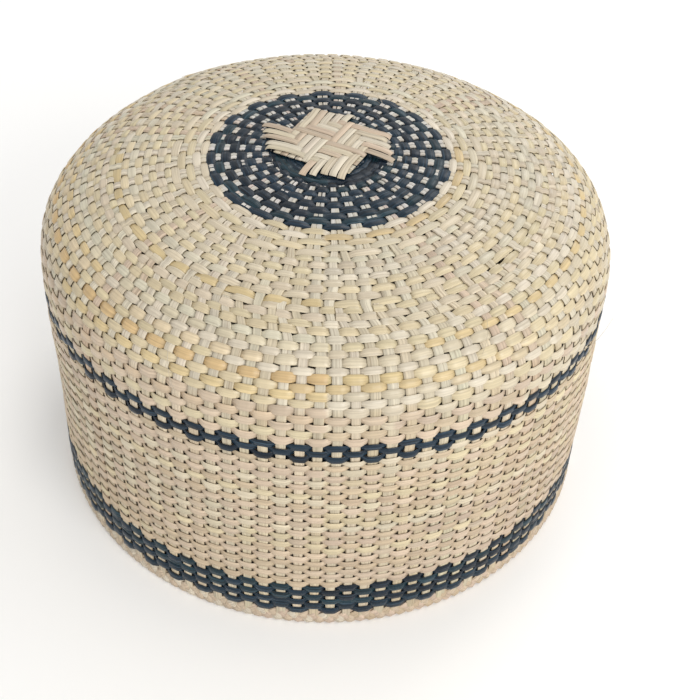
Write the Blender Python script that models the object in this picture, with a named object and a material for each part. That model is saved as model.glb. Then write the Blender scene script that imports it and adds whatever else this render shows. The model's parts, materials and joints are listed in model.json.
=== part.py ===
"""A round woven sewing basket: a lined inner basket, and a deep domed cover that lifts off it."""

import bisect
import math

import bmesh
import bpy

# Driving dimensions, in metres.
COVER_RADIUS = 0.120
SHOULDER_HEIGHT = 0.109
CROWN_RISE = 0.043
CROWN_FLATNESS = 3.774  # exponent across the crown: the higher, the flatter the middle
SHOULDER_FULLNESS = 2.648  # exponent up the crown: the higher, the fuller the bend
BASKET_RADIUS = 0.1135
BASKET_HEIGHT = 0.100
CORNER_RADIUS = 0.014
FOOT_HEIGHT = 0.004

# The weave is two layers: the weavers outside, and the stakes that they are woven on inside.
WEAVER_LAYER = 0.0013
STAKE_LAYER = 0.0008
GAP = 0.0003
STAKE_DEPTH = WEAVER_LAYER + GAP
WEAVE_DEPTH = STAKE_DEPTH + STAKE_LAYER

# Where one band of the cover ends, measured along its surface from the middle of the crown.
MEDALLION_END = 0.0498
CROWN_WEAVE_END = 0.0965
SHOULDER_WEAVE_END = 0.1270
UPPER_WALL_END = 0.1428
CHAIN_BAND_END = 0.1543
LOWER_WALL_END = 0.2261
FOOT_BAND_END = 0.2436
BORDER_THICKNESS = 0.0036
BORDER_PROUD = 0.0004
BORDER_ROUNDING = 0.0012

# The plaited cross on the crown: four arms set like the sails of a windmill, each beside its own middle line.
STAR_TURN = math.radians(-27)
STAR_REACH = 0.0300
STAR_SHORT_SIDE = 0.0190
STAR_ARM_WIDTH = 0.0140
STAR_THICKNESS = 0.0009

# Where one band of the inner basket ends, measured along its surface from the middle of the floor.
FLOOR_CENTRE_END = 0.0285
FLOOR_WEAVE_END = 0.0985
BASKET_WALL_END = 0.1850
BASKET_BAND_END = 0.1950
MOUTH_BORDER_PROUD = 0.0010
MOUTH_BORDER_THICKNESS = 0.0038
FOOT_RING_RADIUS = 0.0920
FOOT_RING_WIDTH = 0.0060

# The cloth lining.
LINING_THICKNESS = 0.0008
LINING_BOTTOM = 0.0190
LINING_TOP = 0.0895
HEM_TOP = 0.0960
HEM_THICKNESS = 0.0016
PAD_HEIGHT = 0.0080
PAD_RADIUS = 0.1062
PAD_FLAT_SHARE = 0.6  # of its radius, from the middle out
PAD_EDGE_SHARE = 0.5  # of its height, rounded at the edge
PAD_CLEARANCE = 0.0006

# How finely round and curved shapes are divided.
SEGMENTS = 40
CROWN_STEPS = 120
CORNER_STEPS = 12
PAD_EDGE_STEPS = 3
COVER_STAKE_STEPS = 20
BASKET_STAKE_STEPS = 30
BASKET_WALL_STEPS = 14
MERGE_DISTANCE = 0.00001
SHARP_ANGLE = math.radians(35)

STRAW = (0.78, 0.65, 0.44)
PALE_STRAW = (0.80, 0.68, 0.50)
WALL_STRAW = (0.74, 0.60, 0.42)
PINK_STRAW = (0.76, 0.58, 0.44)
NAVY = (0.030, 0.060, 0.095)
LINEN = (0.78, 0.72, 0.60)


def make_material(name, colour, roughness):
    material = bpy.data.materials.new(name)
    material.use_nodes = True
    shader = material.node_tree.nodes["Principled BSDF"]
    shader.inputs["Base Color"].default_value = (*colour, 1.0)
    shader.inputs["Roughness"].default_value = roughness
    shader.inputs["Metallic"].default_value = 0.0
    return material


def finish_piece(name, bm, colour, roughness, parent):
    bmesh.ops.recalc_face_normals(bm, faces=bm.faces)
    mesh = bpy.data.meshes.new(name)
    bm.to_mesh(mesh)
    bm.free()
    mesh.shade_smooth()
    mesh.set_sharp_from_angle(angle=SHARP_ANGLE)
    mesh.materials.append(make_material(name, colour, roughness))
    piece = bpy.data.objects.new(name, mesh)
    bpy.context.scene.collection.objects.link(piece)
    piece.parent = parent
    return piece


def turned(name, outline, colour, roughness, parent):
    """A closed outline of (radius, height) points, turned about the upright axis."""
    bm = bmesh.new()
    points = [bm.verts.new((radius, 0.0, height)) for radius, height in outline]
    edges = [bm.edges.new((a, b)) for a, b in zip(points, points[1:] + points[:1])]
    bmesh.ops.spin(
        bm,
        geom=points + edges,
        cent=(0, 0, 0),
        axis=(0, 0, 1),
        angle=math.tau,
        steps=SEGMENTS,
        use_merge=True,
    )
    bmesh.ops.remove_doubles(bm, verts=bm.verts, dist=MERGE_DISTANCE)
    return finish_piece(name, bm, colour, roughness, parent)


def spread(first, last, count):
    """Count + 1 values from first to last."""
    return [first + (last - first) * i / count for i in range(count + 1)]


class SurfaceLine:
    """The line that is turned to make a woven surface, measured along itself from the upright axis."""

    def __init__(self, points):
        self.points = points
        self.lengths = [0.0]
        for a, b in zip(points, points[1:]):
            self.lengths.append(self.lengths[-1] + math.dist(a, b))

    def point(self, distance, depth):
        """The point that far along, carried in by the depth: to the right of the way that the line runs."""
        last = len(self.points) - 2
        i = min(max(bisect.bisect_right(self.lengths, distance) - 1, 0), last)
        (r0, z0), (r1, z1) = self.points[i], self.points[i + 1]
        step = self.lengths[i + 1] - self.lengths[i]
        part = (distance - self.lengths[i]) / step
        run, rise = (r1 - r0) / step, (z1 - z0) / step
        return (r0 + (r1 - r0) * part + depth * rise, z0 + (z1 - z0) * part - depth * run)

    def layer(self, first, last, count, outside, inside):
        """The closed outline of a layer of the surface between two distances and two depths."""
        places = spread(first, last, count)
        return [self.point(p, outside) for p in places] + [self.point(p, inside) for p in reversed(places)]


def cover_line():
    """A flat dome, a superellipse with its two exponents, over an upright wall, from the crown down."""
    points = []
    for turn in spread(0.0, math.pi / 2, CROWN_STEPS):
        radius = COVER_RADIUS * math.sin(turn) ** (2 / CROWN_FLATNESS)
        rise = CROWN_RISE * max(math.cos(turn), 0.0) ** (2 / SHOULDER_FULLNESS)
        points.append((radius, SHOULDER_HEIGHT + rise))
    return SurfaceLine(points + [(COVER_RADIUS, 0.0)])


def basket_line():
    """A flat floor, a round corner and an upright wall, from the middle of the floor up."""
    centre_radius = BASKET_RADIUS - CORNER_RADIUS
    centre_height = FOOT_HEIGHT + GAP + CORNER_RADIUS
    points = [(0.0, FOOT_HEIGHT + GAP)]
    for turn in spread(0.0, math.pi / 2, CORNER_STEPS):
        points.append(
            (centre_radius + CORNER_RADIUS * math.sin(turn), centre_height - CORNER_RADIUS * math.cos(turn))
        )
    return SurfaceLine(points + [(BASKET_RADIUS, BASKET_HEIGHT)])


def make_star(top, parent):
    """A flat plait in four arms, each from its long side at the middle line to its short side."""
    corners = []
    for arm in range(4):
        turn = STAR_TURN + arm * math.pi / 2
        for along, across in ((STAR_REACH, 0.0), (STAR_SHORT_SIDE, STAR_ARM_WIDTH), (0.0, STAR_ARM_WIDTH)):
            corners.append(
                (
                    along * math.cos(turn) - across * math.sin(turn),
                    along * math.sin(turn) + across * math.cos(turn),
                )
            )
    bm = bmesh.new()
    face = bm.faces.new([bm.verts.new((x, y, top + GAP)) for x, y in corners])
    grown = bmesh.ops.extrude_face_region(bm, geom=[face])
    raised = [item for item in grown["geom"] if isinstance(item, bmesh.types.BMVert)]
    bmesh.ops.translate(bm, verts=raised, vec=(0, 0, STAR_THICKNESS))
    bmesh.ops.triangulate(bm, faces=[f for f in bm.faces if len(f.verts) > 4])
    return finish_piece("cover_star", bm, PINK_STRAW, 0.55, parent)


def make_cover(parent):
    line = cover_line()
    bands = (
        ("cover_medallion", 0.0, MEDALLION_END, 3, NAVY, 0.45),
        ("cover_crown_weave", MEDALLION_END, CROWN_WEAVE_END, 4, STRAW, 0.5),
        ("cover_shoulder_weave", CROWN_WEAVE_END, SHOULDER_WEAVE_END, 6, PALE_STRAW, 0.5),
        ("cover_upper_wall_weave", SHOULDER_WEAVE_END, UPPER_WALL_END, 3, STRAW, 0.55),
        ("cover_chain_band", UPPER_WALL_END, CHAIN_BAND_END, 1, NAVY, 0.45),
        ("cover_lower_wall_weave", CHAIN_BAND_END, LOWER_WALL_END, 1, WALL_STRAW, 0.6),
        ("cover_foot_band", LOWER_WALL_END, FOOT_BAND_END, 1, NAVY, 0.45),
    )
    for name, first, last, count, colour, roughness in bands:
        start = first + GAP if first else 0.0
        turned(name, line.layer(start, last, count, 0.0, WEAVER_LAYER), colour, roughness, parent)
    stakes = line.layer(0.0, FOOT_BAND_END, COVER_STAKE_STEPS, STAKE_DEPTH, WEAVE_DEPTH)
    turned("cover_stakes", stakes, PALE_STRAW, 0.6, parent)
    make_star(line.point(0.0, 0.0)[1], parent)
    outside = COVER_RADIUS + BORDER_PROUD
    inside = outside - BORDER_THICKNESS
    height = line.point(FOOT_BAND_END + GAP, 0.0)[1]
    border = [
        (outside - BORDER_ROUNDING, height),
        (outside, height - BORDER_ROUNDING),
        (outside, BORDER_ROUNDING),
        (outside - BORDER_ROUNDING, 0.0),
        (inside + BORDER_ROUNDING / 2, 0.0),
        (inside, BORDER_ROUNDING),
        (inside, height),
    ]
    turned("cover_rim_border", border, PINK_STRAW, 0.6, parent)


def make_basket(parent):
    line = basket_line()
    bands = (
        ("basket_floor_centre", 0.0, FLOOR_CENTRE_END, 1, PINK_STRAW, 0.55),
        ("basket_floor_weave", FLOOR_CENTRE_END, FLOOR_WEAVE_END, 1, STRAW, 0.55),
        ("basket_wall_weave", FLOOR_WEAVE_END, BASKET_WALL_END, BASKET_WALL_STEPS, WALL_STRAW, 0.55),
        ("basket_wall_band", BASKET_WALL_END, BASKET_BAND_END, 1, NAVY, 0.45),
    )
    for name, first, last, count, colour, roughness in bands:
        start = first + GAP if first else 0.0
        turned(name, line.layer(start, last, count, 0.0, -WEAVER_LAYER), colour, roughness, parent)
    stakes = line.layer(0.0, BASKET_BAND_END, BASKET_STAKE_STEPS, -STAKE_DEPTH, -WEAVE_DEPTH)
    turned("basket_stakes", stakes, PALE_STRAW, 0.6, parent)
    outside = BASKET_RADIUS + MOUTH_BORDER_PROUD
    inside = outside - MOUTH_BORDER_THICKNESS
    low = line.point(BASKET_BAND_END + GAP, 0.0)[1]
    border = [
        (outside, low),
        (outside, BASKET_HEIGHT - BORDER_ROUNDING),
        (outside - BORDER_ROUNDING, BASKET_HEIGHT),
        (inside + BORDER_ROUNDING, BASKET_HEIGHT),
        (inside, BASKET_HEIGHT - BORDER_ROUNDING),
        (inside, low),
    ]
    turned("basket_mouth_border", border, PINK_STRAW, 0.6, parent)
    near = FOOT_RING_RADIUS - FOOT_RING_WIDTH / 2
    far = FOOT_RING_RADIUS + FOOT_RING_WIDTH / 2
    ring = [
        (near, BORDER_ROUNDING),
        (near + BORDER_ROUNDING, 0.0),
        (far - BORDER_ROUNDING, 0.0),
        (far, BORDER_ROUNDING),
        (far, FOOT_HEIGHT),
        (near, FOOT_HEIGHT),
    ]
    turned("basket_foot_ring", ring, WALL_STRAW, 0.5, parent)


def make_lining(parent):
    outside = BASKET_RADIUS - WEAVE_DEPTH - GAP
    inside = outside - LINING_THICKNESS
    wall = [(outside, LINING_BOTTOM), (outside, LINING_TOP), (inside, LINING_TOP), (inside, LINING_BOTTOM)]
    turned("lining_wall", wall, LINEN, 0.9, parent)
    hem_outside = BASKET_RADIUS + MOUTH_BORDER_PROUD - MOUTH_BORDER_THICKNESS - GAP
    hem_inside = hem_outside - HEM_THICKNESS
    low = LINING_TOP + GAP
    hem = [(hem_outside, low), (hem_outside, HEM_TOP), (hem_inside, HEM_TOP), (hem_inside, low)]
    turned("lining_hem", hem, LINEN, 0.9, parent)
    floor = FOOT_HEIGHT + GAP + WEAVE_DEPTH + GAP
    flat = BASKET_RADIUS - CORNER_RADIUS - PAD_CLEARANCE
    pad = [(0.0, floor + PAD_HEIGHT), (PAD_FLAT_SHARE * PAD_RADIUS, floor + PAD_HEIGHT)]
    edge = PAD_EDGE_SHARE * PAD_HEIGHT
    for turn in spread(math.pi / 2, 0.0, PAD_EDGE_STEPS):
        pad.append((PAD_RADIUS - edge * (1 - math.cos(turn)), floor + edge * (1 + math.sin(turn))))
    pad += [(flat, floor), (0.0, floor)]
    turned("lining_floor_pad", pad, LINEN, 0.9, parent)


def make_empty(name):
    empty = bpy.data.objects.new(name, None)
    bpy.context.scene.collection.objects.link(empty)
    return empty


def main():
    for old in list(bpy.data.objects):
        bpy.data.objects.remove(old, do_unlink=True)
    basket = make_empty("basket_body")
    cover = make_empty("cover_body")
    make_cover(cover)
    make_basket(basket)
    make_lining(basket)


main()
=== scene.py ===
"""The looks of a round woven sewing basket: cane weave, braided borders and a cloth lining, on its CAD frame."""

import json
import math
from typing import NamedTuple

import bpy
import numpy as np
from bpy.props import FloatProperty, FloatVectorProperty, IntProperty, PointerProperty
from bpy.types import Operator, Panel, PropertyGroup
from mathutils import Matrix, Vector

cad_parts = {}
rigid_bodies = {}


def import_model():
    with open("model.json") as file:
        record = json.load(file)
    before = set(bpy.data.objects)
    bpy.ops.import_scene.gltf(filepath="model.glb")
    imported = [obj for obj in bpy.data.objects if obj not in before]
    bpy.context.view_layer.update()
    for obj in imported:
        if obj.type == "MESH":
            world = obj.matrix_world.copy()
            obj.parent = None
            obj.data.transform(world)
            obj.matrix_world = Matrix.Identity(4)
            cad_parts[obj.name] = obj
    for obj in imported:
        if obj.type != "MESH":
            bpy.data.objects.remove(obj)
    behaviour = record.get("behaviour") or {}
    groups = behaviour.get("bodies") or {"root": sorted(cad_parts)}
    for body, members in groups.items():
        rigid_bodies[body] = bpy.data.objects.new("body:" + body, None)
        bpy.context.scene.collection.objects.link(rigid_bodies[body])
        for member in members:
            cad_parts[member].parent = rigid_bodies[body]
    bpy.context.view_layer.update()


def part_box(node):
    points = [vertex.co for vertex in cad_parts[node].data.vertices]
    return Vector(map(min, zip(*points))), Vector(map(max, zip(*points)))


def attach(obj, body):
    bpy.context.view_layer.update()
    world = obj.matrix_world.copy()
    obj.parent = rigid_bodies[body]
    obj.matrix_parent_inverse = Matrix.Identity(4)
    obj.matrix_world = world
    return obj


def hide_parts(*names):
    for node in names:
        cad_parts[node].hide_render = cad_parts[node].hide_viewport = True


bl_info = {
    "name": "Woven Sewing Basket",
    "version": (1, 0, 0),
    "blender": (4, 5, 0),
    "location": "View3D > Sidebar > Basket",
    "description": "Weaves a domed basket cover, the lined basket under it, and the stage that shows them",
    "category": "Add Mesh",
}

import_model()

# ---- Sizes that come from the frame ----

COVER_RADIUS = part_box("cover_lower_wall_weave")[1].x
SHOULDER_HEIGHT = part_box("cover_chain_band")[1].z + 0.0003
CROWN_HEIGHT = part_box("cover_medallion")[1].z
BASKET_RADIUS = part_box("basket_wall_weave")[1].x
BASKET_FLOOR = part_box("basket_floor_centre")[0].z
BASKET_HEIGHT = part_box("basket_mouth_border")[1].z
CROWN_FLATNESS = 3.774
SHOULDER_FULLNESS = 2.648
CORNER_RADIUS = 0.014

# How far the middle of the weave lies inside the outermost surface.
WEAVE_INSET = 0.0011

FRONT = -math.pi / 2


def seeded(number):
    return np.random.default_rng(number)


def smooth_step(value):
    t = np.clip(value, 0.0, 1.0)
    return t * t * (3 - 2 * t)


def turned(radius, angle, height):
    """Points at a radius, an angle about the upright axis, and a height."""
    return np.stack(np.broadcast_arrays(radius * np.cos(angle), radius * np.sin(angle), height), -1)


# ---- The turned surfaces that the cane follows ----


# The waves that make a woven surface uneven: how many go round it, and how many down it.
LUMP_WAVES = ((2, 1), (3, 2), (5, 1), (7, 3), (4, -2), (11, 4))
# How far from the middle the weave has come back to true, if it was begun off it.
BACK_REACH = 0.100


class SurfaceLine:
    """The line that is turned to make a woven surface, measured along itself from the upright axis."""

    def __init__(self, radius, height, lumps, seed):
        self.radius = np.asarray(radius)
        self.height = np.asarray(height)
        step = np.hypot(np.diff(self.radius), np.diff(self.height))
        self.distance = np.concatenate([[0.0], np.cumsum(step)])
        self.run = np.gradient(self.radius, self.distance)
        self.rise = np.gradient(self.height, self.distance)
        self.lumps = lumps
        draw = seeded(seed)
        self.waves = [(k, m, draw.uniform(0, math.tau), draw.uniform(0.4, 1.0)) for k, m in LUMP_WAVES]

    @property
    def length(self):
        return self.distance[-1]

    def radius_at(self, distance):
        return np.interp(distance, self.distance, self.radius)

    def fall(self, radius):
        """How far the surface has fallen at a radius, from its middle, where it is nearly level."""
        level = self.radius < 0.9 * self.radius.max()
        return self.height[0] - np.interp(radius, self.radius[level], self.height[level])

    def place(self, angle, distance, out):
        """World points at an angle about the upright axis and a distance along the line, raised off the surface."""
        r = np.interp(distance, self.distance, self.radius)
        z = np.interp(distance, self.distance, self.height)
        run = np.interp(distance, self.distance, self.run)
        rise = np.interp(distance, self.distance, self.rise)
        size = np.hypot(run, rise)
        lump = sum(a * np.sin(k * angle + m * distance / self.length * math.tau + p) for k, m, p, a in self.waves)
        # the weave is held true at the middle and at the rim
        held = np.clip(distance / (0.35 * self.length), 0, 1) * np.clip((self.length - distance) / 0.01, 0.3, 1)
        raised = out - WEAVE_INSET + self.lumps * held * lump / len(self.waves)
        points = turned(r - raised * rise / size * self.side, angle, z + raised * run / size * self.side)
        points[..., 1] += self.back * (1.0 - smooth_step(distance / BACK_REACH))
        return points


class CoverLine(SurfaceLine):
    side = 1.0
    # the weave was begun a little behind the middle
    back = 0.0035

    def __init__(self):
        turn = np.linspace(0.0, math.pi / 2, 400)
        rise = CROWN_HEIGHT - SHOULDER_HEIGHT
        radius = COVER_RADIUS * np.sin(turn) ** (2 / CROWN_FLATNESS)
        height = SHOULDER_HEIGHT + rise * np.clip(np.cos(turn), 0, 1) ** (2 / SHOULDER_FULLNESS)
        wall = np.linspace(SHOULDER_HEIGHT, 0.0, 60)[1:]
        super().__init__(
            np.concatenate([radius, np.full(wall.shape, COVER_RADIUS)]), np.concatenate([height, wall]), 0.0011, 5
        )


class BasketLine(SurfaceLine):
    side = -1.0
    back = 0.0

    def __init__(self):
        turn = np.linspace(0.0, math.pi / 2, 60)
        flat = np.linspace(0.0, BASKET_RADIUS - CORNER_RADIUS, 60)[:-1]
        radius = BASKET_RADIUS - CORNER_RADIUS + CORNER_RADIUS * np.sin(turn)
        height = BASKET_FLOOR + CORNER_RADIUS - CORNER_RADIUS * np.cos(turn)
        wall = np.linspace(BASKET_FLOOR + CORNER_RADIUS, BASKET_HEIGHT, 60)[1:]
        super().__init__(
            np.concatenate([flat, radius, np.full(wall.shape, BASKET_RADIUS)]),
            np.concatenate([np.full(flat.shape, BASKET_FLOOR), height, wall]),
            0.0005,
            6,
        )


COVER_LINE = CoverLine()
BASKET_LINE = BasketLine()

# ---- Stakes and how they share the round ----


# The width of a stake's cane, and the most of its room that a stake takes up, where stakes run in pairs, singly, and
# closer together.
STAKE_WIDTHS = ((0.0029, 0.29), (0.0039, 0.62), (0.0039, 0.62))
PAIR_GAP = 0.00012
# How far a stake strays from its true line, to either side.
STAKE_WANDER = 0.00011
# Where stakes end, short of the edge, inside the border.
STAKE_TUCK = 0.0045


class StakePlan:
    """Where the stakes run: first woven in pairs, then singly, then with more stakes let in between them."""

    def __init__(self, line, long_stakes, stakes, pairs_end, long_end, first, spread, seed):
        self.line = line
        self.count = stakes
        index = np.arange(stakes)
        self.parent = index * long_stakes // stakes
        self.added = np.concatenate([[False], self.parent[1:] == self.parent[:-1]])
        self.twin = np.concatenate([self.added[1:], [False]])
        self.unit_of = (self.parent // 2, self.parent, index)
        self.units = (long_stakes // 2, long_stakes, stakes)
        self.ends = (pairs_end, long_end)
        self.spread = spread
        self.last = line.length - STAKE_TUCK
        draw = seeded(seed)
        self.start = np.where(self.added, long_end - 0.0015 + draw.uniform(0, 0.004, stakes), first)
        self.phase = draw.uniform(0, math.tau, (3, stakes))
        self.lean = draw.normal(0, 1, (3, stakes))

    def zone_at(self, distance):
        return 0 if distance < self.ends[0] else 1 if distance < self.ends[1] else 2

    def pitch(self, distance, zone):
        return math.tau * self.line.radius_at(distance) / self.units[zone]

    def stake_width(self, distance):
        """A stake is as wide as its cane, and narrower where there is less room for it."""
        paired, single, closer = (
            np.minimum(widest, share * self.pitch(distance, zone))
            for zone, (widest, share) in enumerate(STAKE_WIDTHS)
        )
        width = paired + (single - paired) * smooth_step((distance - self.ends[0] + 0.003) / 0.006)
        return width + (closer - width) * smooth_step((distance - self.ends[1] + 0.003) / 0.006)

    def angle(self, distance, stake):
        """The angle of each stake at each distance, as it leaves one zone's spacing for the next one's."""
        radius = np.maximum(self.line.radius_at(distance), 0.010)
        beside = (self.stake_width(distance) + PAIR_GAP) / radius
        pair = (self.parent[stake] // 2 + 0.5) / self.units[0] * math.tau + (self.parent[stake] % 2 - 0.5) * beside
        single = (self.parent[stake] + 0.5) / self.units[1] * math.tau
        parting = smooth_step((distance - self.ends[1] + 0.010) / 0.010)
        single = single + 0.5 * beside * parting * (self.added[stake] * 1.0 - self.twin[stake] * 1.0)
        closer = (stake + 0.5 + self.drift) / self.units[2] * math.tau
        angle = pair + (single - pair) * smooth_step((distance - self.ends[0] + 0.004) / 0.008)
        angle = angle + (closer - angle) * smooth_step((distance - self.ends[1]) / self.spread)
        waves = sum(
            self.lean[i, stake] * np.sin(distance * math.tau / (0.055 + 0.035 * i) + self.phase[i, stake])
            for i in range(3)
        )
        return FRONT + self.turn + angle + STAKE_WANDER * waves / radius

    def crossings(self, row):
        """The two edges of what the row's weaver passes over or under, for each unit of the row's zone."""
        zone = self.zone_at(row.distance)
        distance = np.full(self.count, row.distance)
        angle = self.angle(distance, np.arange(self.count))
        half = 0.5 * self.stake_width(distance) / self.line.radius_at(distance)
        low = np.full(self.units[zone], np.inf)
        high = np.full(self.units[zone], -np.inf)
        there = ~self.added if zone < 2 else np.ones(self.count, bool)
        np.minimum.at(low, self.unit_of[zone][there], (angle - half)[there])
        np.maximum.at(high, self.unit_of[zone][there], (angle + half)[there])
        return low, high


class CoverPlan(StakePlan):
    turn = 0.0
    drift = 0.38

    def upright(self, distance):
        """How upright the surface is, from 0 on the crown to 1 on the wall."""
        return smooth_step((distance - 0.090) / 0.030)


class BasketPlan(StakePlan):
    turn = 0.01
    drift = 0.0

    def upright(self, distance):
        """The floor is woven as tightly as the wall."""
        return 1.0


COVER_PLAN = CoverPlan(COVER_LINE, 80, 110, pairs_end=0.0640, long_end=0.0880, first=0.0235, spread=0.016, seed=11)
BASKET_PLAN = BasketPlan(BASKET_LINE, 100, 100, pairs_end=0.0620, long_end=0.0880, first=0.0230, spread=0.01, seed=12)

# ---- Bands and rows of weavers ----

# Colours of split cane, and of the cloth and its thread. A palette says how often a length of each colour comes up in
# a band.
CREAM = (0.590, 0.510, 0.375)
PALE = (0.620, 0.552, 0.435)
GREY_GREEN = (0.570, 0.520, 0.400)
STRAW = (0.600, 0.505, 0.330)
GOLD = (0.605, 0.470, 0.255)
AMBER = (0.590, 0.420, 0.210)
PINK_TAN = (0.555, 0.440, 0.325)
TAN = (0.520, 0.410, 0.280)
BROWN = (0.300, 0.185, 0.110)
NAVY = (0.006, 0.019, 0.034)
TEAL = (0.006, 0.024, 0.035)
INK = (0.003, 0.010, 0.020)
LINEN = (0.760, 0.690, 0.560)
THREAD = (0.580, 0.470, 0.340)

CROWN_PALETTE = ((CREAM, 5), (PALE, 3), (STRAW, 4), (GREY_GREEN, 1.6), (GOLD, 1.0))
SHOULDER_PALETTE = ((CREAM, 4), (PALE, 2.0), (GREY_GREEN, 1.6), (STRAW, 4.0), (GOLD, 2.6), (AMBER, 0.4))
UPPER_WALL_PALETTE = ((CREAM, 2.0), (PINK_TAN, 5.0), (TAN, 3.0), (STRAW, 1.5))
WALL_PALETTE = ((PINK_TAN, 6), (TAN, 3), (CREAM, 1.5), (STRAW, 2.0))
NAVY_PALETTE = ((NAVY, 5), (TEAL, 2.5), (INK, 2.5))
STAKE_PALETTE = ((PALE, 6), (CREAM, 4), (GREY_GREEN, 1.5), (PINK_TAN, 0.8))
BORDER_PALETTE = ((PINK_TAN, 5), (PALE, 3), (TAN, 2))
STAR_PALETTE = ((PALE, 5), (PINK_TAN, 2.5), (CREAM, 3))


class Band(NamedTuple):
    """A run of rows in one finish, from one distance along the surface to another."""

    name: str
    first: float
    last: float
    rows: int
    finish: str
    palette: tuple
    seed: int
    # how much wider than usual its weavers are, and how often they miss a dive
    cover: float = 1.0
    slips: float = 0.0

    @property
    def pitch(self):
        return (self.last - self.first) / self.rows


class Row(NamedTuple):
    """One weaver's round. Its number goes on counting from band to band, so that over and under alternate."""

    band: Band
    number: int
    distance: float
    pitch: float


def rows_of(bands):
    rows = []
    for band in bands:
        draw = seeded(band.seed)
        edges = np.linspace(band.first, band.last, band.rows + 1)
        edges[1:-1] += draw.normal(0, 0.05, band.rows - 1) * (band.last - band.first) / band.rows
        for low, high in zip(edges[:-1], edges[1:]):
            rows.append(Row(band, len(rows), 0.5 * (low + high), high - low))
    return rows


# Distances along the cover's surface where its bands meet.
# The chain's three rows are beaten closer together than their share of the wall.
CHAIN_BEATEN = 0.0014
CHAIN_START = COVER_LINE.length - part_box("cover_chain_band")[1].z + CHAIN_BEATEN
CHAIN_END = COVER_LINE.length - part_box("cover_chain_band")[0].z - CHAIN_BEATEN
FOOT_BAND_START = COVER_LINE.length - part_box("cover_foot_band")[1].z
BORDER_START = COVER_LINE.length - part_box("cover_rim_border")[1].z
MEDALLION_START = 0.0087
MEDALLION_END = 0.0498
CROWN_END = 0.0965
SHOULDER_END = 0.1270

MEDALLION = Band("medallion_weavers", MEDALLION_START, MEDALLION_END, 13, "navy_cane", NAVY_PALETTE, 21, 1.18, 0.16)
CROWN = Band("crown_weavers", MEDALLION_END, CROWN_END, 16, "crown_cane", CROWN_PALETTE, 22)
SHOULDER = Band("shoulder_weavers", CROWN_END, SHOULDER_END, 10, "crown_cane", SHOULDER_PALETTE, 23)
UPPER_WALL = Band("upper_wall_weavers", SHOULDER_END, CHAIN_START, 5, "crown_cane", UPPER_WALL_PALETTE, 24)
CHAIN = Band("chain_weavers", CHAIN_START, CHAIN_END, 3, "navy_cane", NAVY_PALETTE, 25)
LOWER_WALL = Band("lower_wall_weavers", CHAIN_END, FOOT_BAND_START, 28, "wall_cane", WALL_PALETTE, 26, 1.08)
FOOT_BAND = Band("foot_band_weavers", FOOT_BAND_START, BORDER_START, 6, "navy_cane", NAVY_PALETTE, 27, 1.20, 0.10)
COVER_ROWS = rows_of((MEDALLION, CROWN, SHOULDER, UPPER_WALL, CHAIN, LOWER_WALL, FOOT_BAND))

FLOOR_CENTRE_END = 0.0285
FLOOR_END = 0.0985
BASKET_BAND_START = BASKET_LINE.length - 0.0155
BASKET_BORDER_START = BASKET_LINE.length - 0.0052

FLOOR = Band("basket_floor_weavers", FLOOR_CENTRE_END - 0.003, FLOOR_END, 27, "crown_cane", WALL_PALETTE, 31)
WALL = Band("basket_wall_weavers", FLOOR_END, BASKET_BAND_START, 31, "wall_cane", WALL_PALETTE, 32)
WALL_BAND = Band("basket_band_weavers", BASKET_BAND_START, BASKET_BORDER_START, 4, "navy_cane", NAVY_PALETTE, 33)
BASKET_ROWS = rows_of((FLOOR, WALL, WALL_BAND))

# ---- Shaping a strip of cane ----

# A strip of cane is flat, with its edges taken off: how far across and how far out each of its six corners is, as
# shares of its width and thickness.
STRIP_ACROSS = np.array([-0.40, 0.40, 0.5, 0.40, -0.40, -0.5])
STRIP_OUT = np.array([0.5, 0.5, -0.05, -0.5, -0.5, -0.05])
STRIP_SIDES = len(STRIP_ACROSS)
# Where the same six corners lie round a thread or a fibre.
THREAD_ROUND = np.arange(STRIP_SIDES)[None, :] * math.tau / STRIP_SIDES


def pick_colours(palette, count, draw):
    shares = np.array([share for _, share in palette], float)
    chosen = draw.choice(len(palette), count, p=shares / shares.sum())
    colours = np.array([palette[i][0] for i in chosen])
    return colours * draw.normal(1.0, 0.035, (count, 1)) * draw.normal(1.0, 0.008, (count, 3))


def spliced_tint(along, palette, draw, shortest, longest):
    """The colour at each place along a weaver that is made of several lengths of cane, joined end to end."""
    total = along.max()
    joints = [draw.uniform(0, shortest)]
    while joints[-1] < total:
        joints.append(joints[-1] + draw.uniform(shortest, longest))
    colours = pick_colours(palette, len(joints) + 1, draw)
    colours[-1] = colours[0]
    return colours[np.searchsorted(joints, along)]


def deselect():
    bpy.ops.object.select_all(action="DESELECT")


def pick(*pieces):
    """Selects these pieces and nothing else, and makes the first of them active."""
    deselect()
    for piece in pieces:
        piece.select_set(True)
    bpy.context.view_layer.objects.active = pieces[0]


def set_all(thing, settings):
    for key, value in settings.items():
        setattr(thing, key, value)


def apply_modifier(piece, kind, **settings):
    """Shapes a piece with a modifier, and applies it."""
    modifier = piece.modifiers.new(kind.lower(), kind)
    set_all(modifier, settings)
    bpy.context.view_layer.objects.active = piece
    bpy.ops.object.modifier_apply(modifier=modifier.name)


def turn_out(piece):
    """Turns all faces of a closed piece outwards."""
    pick(piece)
    bpy.ops.object.mode_set(mode="EDIT")
    bpy.ops.mesh.select_all(action="SELECT")
    bpy.ops.mesh.normals_make_consistent(inside=False)
    bpy.ops.object.mode_set(mode="OBJECT")


def read_places(mesh):
    places = np.zeros(len(mesh.vertices) * 3)
    mesh.vertices.foreach_get("co", places)
    return places.reshape(-1, 3)


def write_places(mesh, places):
    mesh.vertices.foreach_set("co", np.ascontiguousarray(places, np.float32).ravel())
    mesh.update()


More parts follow.
